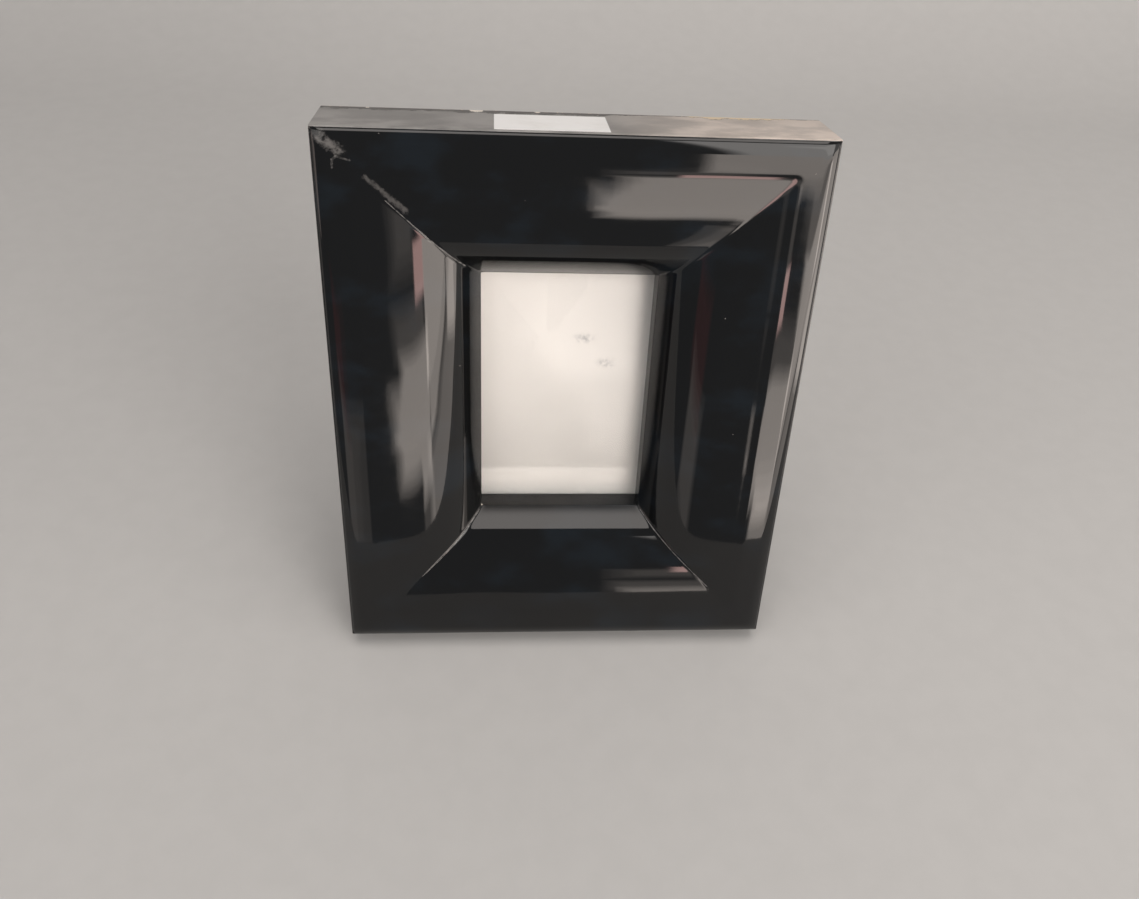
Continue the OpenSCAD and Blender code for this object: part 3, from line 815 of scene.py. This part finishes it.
def makeSheetPaper():
    s = sheetSet
    material, tree, shader = newMaterial("offWhiteSheet")
    flat = flatCoordinates(tree)
    fibre = noiseOf(tree, flat, s["fibre"])
    toned = shaded(s["white"], s["toneShade"])
    colour = mixColour(tree, patches(tree, flat, s["tone"]), s["white"], toned)
    dark = shaded(s["white"], s["fibreDark"])
    colour = mixColour(tree, ramp(tree, fibre, *s["fibreRange"]), colour, dark)
    blot = patches(tree, flat, s["smudgeBlot"])
    for markX, markY, size, strength in s["smudges"]:
        off = vectorMath(tree, "SUBTRACT", {0: flat, 1: (markX, markY, sheetZ)})
        off = stretched(tree, off, s["smudgeStretch"], s["smudgeTurn"])
        gap = vectorMath(tree, "LENGTH", {0: off}, "Value")
        smudge = times(tree, ramp(tree, gap, size, 0.0), blot)
        colour = mixColour(tree, times(tree, smudge, strength), colour, s["grey"])
    setShader(tree, shader, {"Base Color": colour, "Roughness": s["roughness"],
                             "Specular IOR Level": s["specular"]})
    addBump(tree, shader, fibre, *s["fibreBump"])
    return material


labelSet = {
    "white": (0.80, 0.795, 0.785),
    "grimed": (0.74, 0.73, 0.71),
    "grime": {"scale": 60.0, "detail": 4.0, "rough": 0.6, "range": (0.45, 0.8)},
    "fibre": {"scale": 1100.0, "detail": 3.0, "rough": 0.6},
    "fibreBump": (0.12, 0.00003),
    "roughness": 0.7,
}


def makeLabelPaper():
    s = labelSet
    material, tree, shader = newMaterial("blankLabelPaper")
    flat = flatCoordinates(tree)
    colour = mixColour(tree, patches(tree, flat, s["grime"]), s["white"], s["grimed"])
    setShader(tree, shader, {"Base Color": colour, "Roughness": s["roughness"]})
    addBump(tree, shader, noiseOf(tree, flat, s["fibre"]), *s["fibreBump"])
    return material


dressSet = {
    "weld": 0.000002,
    "edgeSteps": 2,
    "edgeAngle": 38,    # degrees: a sharper corner than this is eased
}


def dress(node, material, edge=0.0):    # a material and eased edges on a CAD node whose shape is right
    piece = nodes[node]
    piece.data.materials.clear()
    piece.data.materials.append(material)
    if edge:
        weld = piece.modifiers.new("weld", "WELD")
        weld.merge_threshold = dressSet["weld"]
        bevel = piece.modifiers.new("easedEdges", "BEVEL")
        bevel.width = edge
        bevel.segments = dressSet["edgeSteps"]
        bevel.limit_method = "ANGLE"
        bevel.angle_limit = math.radians(dressSet["edgeAngle"])


dress("glass_pane", makeGlass())
dress("paper_insert", makeSheetPaper())
dress("top_label", makeLabelPaper())
print("glass, sheet and label dressed")


# Back: board, strut, turn buttons and hinge

boardSet = {
    "easedEdge": 0.00035,
    "flock": (0.016, 0.0155, 0.0155),
    "flockLight": (0.034, 0.033, 0.033),
    "flockTip": 1.9,                   # shade of the tips of the fibres
    "flockFace": (0.80, 0.94),         # how squarely a face has to lie for the flock to cover it
    "pile": {"scale": 70.0, "detail": 4.0, "rough": 0.6, "range": (0.32, 0.70)},
    "fibre": {"scale": 2600.0, "detail": 3.0, "rough": 0.7},
    "fibreRange": (0.50, 0.75, 0.0, 0.6),
    "lint": (0.22, 0.21, 0.20),
    "lintCover": 0.6,
    "lintStrand": {"Scale": 75.0, "Distortion": 22.0, "Detail": 3.0, "Detail Scale": 1.3},
    "lintThin": (0.985, 0.998),
    "lintPatch": {"scale": 55.0, "detail": 2.0, "rough": 0.5, "range": (0.56, 0.66)},
    "edge": (0.115, 0.070, 0.040),
    "edgeShade": 0.6,
    "layers": {"scale": 800.0, "detail": 4.0, "rough": 0.7},
    "layerRange": (0.3, 0.7),
    "layerShare": 0.5,
    "bump": (0.5, 0.00012),
    "roughness": 0.92,
    "sheen": 0.22,
    "sheenRough": 0.5,
    "specular": 0.2,
}


def broadNormal(node):    # the way the largest face of a node looks
    return max(nodes[node].data.polygons, key=lambda face: face.area).normal.copy()


def makeFlock(name, node):    # flocked fibreboard: the cut edges show the brown board
    s = boardSet
    material, tree, shader = newMaterial(name)
    coordinates = addNode(tree, "ShaderNodeTexCoord").outputs
    place = coordinates["Object"]
    facing = vectorMath(tree, "DOT_PRODUCT", {0: coordinates["Normal"], 1: broadNormal(node)}, "Value")
    flocked = ramp(tree, positive(tree, facing), *s["flockFace"])
    fibre = noiseOf(tree, place, s["fibre"])
    flock = mixColour(tree, patches(tree, place, s["pile"]), s["flock"], s["flockLight"])
    tips = shaded(s["flockLight"], s["flockTip"])
    flock = mixColour(tree, ramp(tree, fibre, *s["fibreRange"]), flock, tips)
    strands = addNode(tree, "ShaderNodeTexWave", {"Vector": place, **s["lintStrand"]}).outputs["Fac"]
    lint = times(tree, ramp(tree, strands, *s["lintThin"]), patches(tree, place, s["lintPatch"]))
    flock = mixColour(tree, times(tree, lint, s["lintCover"]), flock, s["lint"])
    layers = noiseOf(tree, place, s["layers"])
    dark = shaded(s["edge"], s["edgeShade"])
    edge = mixColour(tree, ramp(tree, layers, *s["layerRange"]), dark, s["edge"])
    setShader(tree, shader, {
        "Base Color": mixColour(tree, flocked, edge, flock),
        "Roughness": s["roughness"],
        "Sheen Weight": s["sheen"],
        "Sheen Roughness": s["sheenRough"],
        "Specular IOR Level": s["specular"],
    })
    addBump(tree, shader, plus(tree, fibre, times(tree, layers, s["layerShare"])), *s["bump"])
    return material


brassSet = {
    "name": "brassPlate",
    "bright": (0.66, 0.47, 0.20),
    "dull": (0.42, 0.29, 0.13),
    "rough": 0.24,
    "spangle": 0.12,
}
zincSet = {
    "name": "zincPlate",
    "bright": (0.62, 0.62, 0.61),
    "dull": (0.40, 0.41, 0.42),
    "rough": 0.30,
    "spangle": 0.45,
}
plateSet = {    # what brass and zinc plate share
    "spangleScale": 900.0,
    "spangleRelief": 0.3,
    "stain": {"scale": 230.0, "detail": 4.0, "rough": 0.6, "range": (0.40, 0.72)},
    "stainCover": 0.55,
    "stainRough": 0.16,
    "grime": (0.06, 0.05, 0.04),
    "freckles": {"scale": 1500.0, "detail": 3.0, "rough": 0.6, "range": (0.66, 0.74)},
    "freckleCover": 0.7,
    "drag": {"scale": 500.0, "detail": 3.0, "rough": 0.6, "stretch": (12.0, 1.0, 1.0),
             "turn": (0.4, 0.2, 0.3)},
    "dragRange": (0.3, 0.7),
    "dragRough": 0.14,
    "bump": (0.25, 0.00004),
}


def makePlate(metal):
    s = plateSet
    material, tree, shader = newMaterial(metal["name"])
    place = objectCoordinates(tree)
    cells = addNode(tree, "ShaderNodeTexVoronoi", {"Vector": place, "Scale": s["spangleScale"]}).outputs
    spangle = split(tree, cells["Color"])[0]
    stain = patches(tree, place, s["stain"])
    colour = mixColour(tree, times(tree, spangle, metal["spangle"]), metal["bright"], metal["dull"])
    colour = mixColour(tree, times(tree, stain, s["stainCover"]), colour, metal["dull"])
    freckles = times(tree, patches(tree, place, s["freckles"]), s["freckleCover"])
    colour = mixColour(tree, freckles, colour, s["grime"])
    drag = noiseOf(tree, place, s["drag"])
    rough = ramp(tree, drag, *s["dragRange"], metal["rough"], metal["rough"] + s["dragRough"])
    rough = plus(tree, rough, times(tree, stain, s["stainRough"]))
    setShader(tree, shader, {"Base Color": colour, "Metallic": 1.0, "Roughness": rough})
    addBump(tree, shader, plus(tree, drag, times(tree, spangle, s["spangleRelief"])), *s["bump"])
    return material


brassEdges = {
    "button_upper_left": 0.00018,
    "button_upper_right": 0.00018,
    "button_lower_left": 0.00018,
    "button_lower_right": 0.00018,
    "button_screws": 0.00010,
}
zincEdges = {
    "hinge_bracket": 0.00016,
    "strut_leaf": 0.00016,
    "hinge_pin": 0.00020,
    "bracket_rivets": 0.00020,
    "leaf_rivets": 0.00020,
    "corner_nails": 0.00010,
}
dress("backing_board", makeFlock("flockedBoard", "backing_board"), boardSet["easedEdge"])
dress("strut", makeFlock("flockedStrut", "strut"), boardSet["easedEdge"])
for metal, edges in ((brassSet, brassEdges), (zincSet, zincEdges)):
    plate = makePlate(metal)
    for node, edge in edges.items():
        dress(node, plate, edge)
print("back dressed")


low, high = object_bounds()
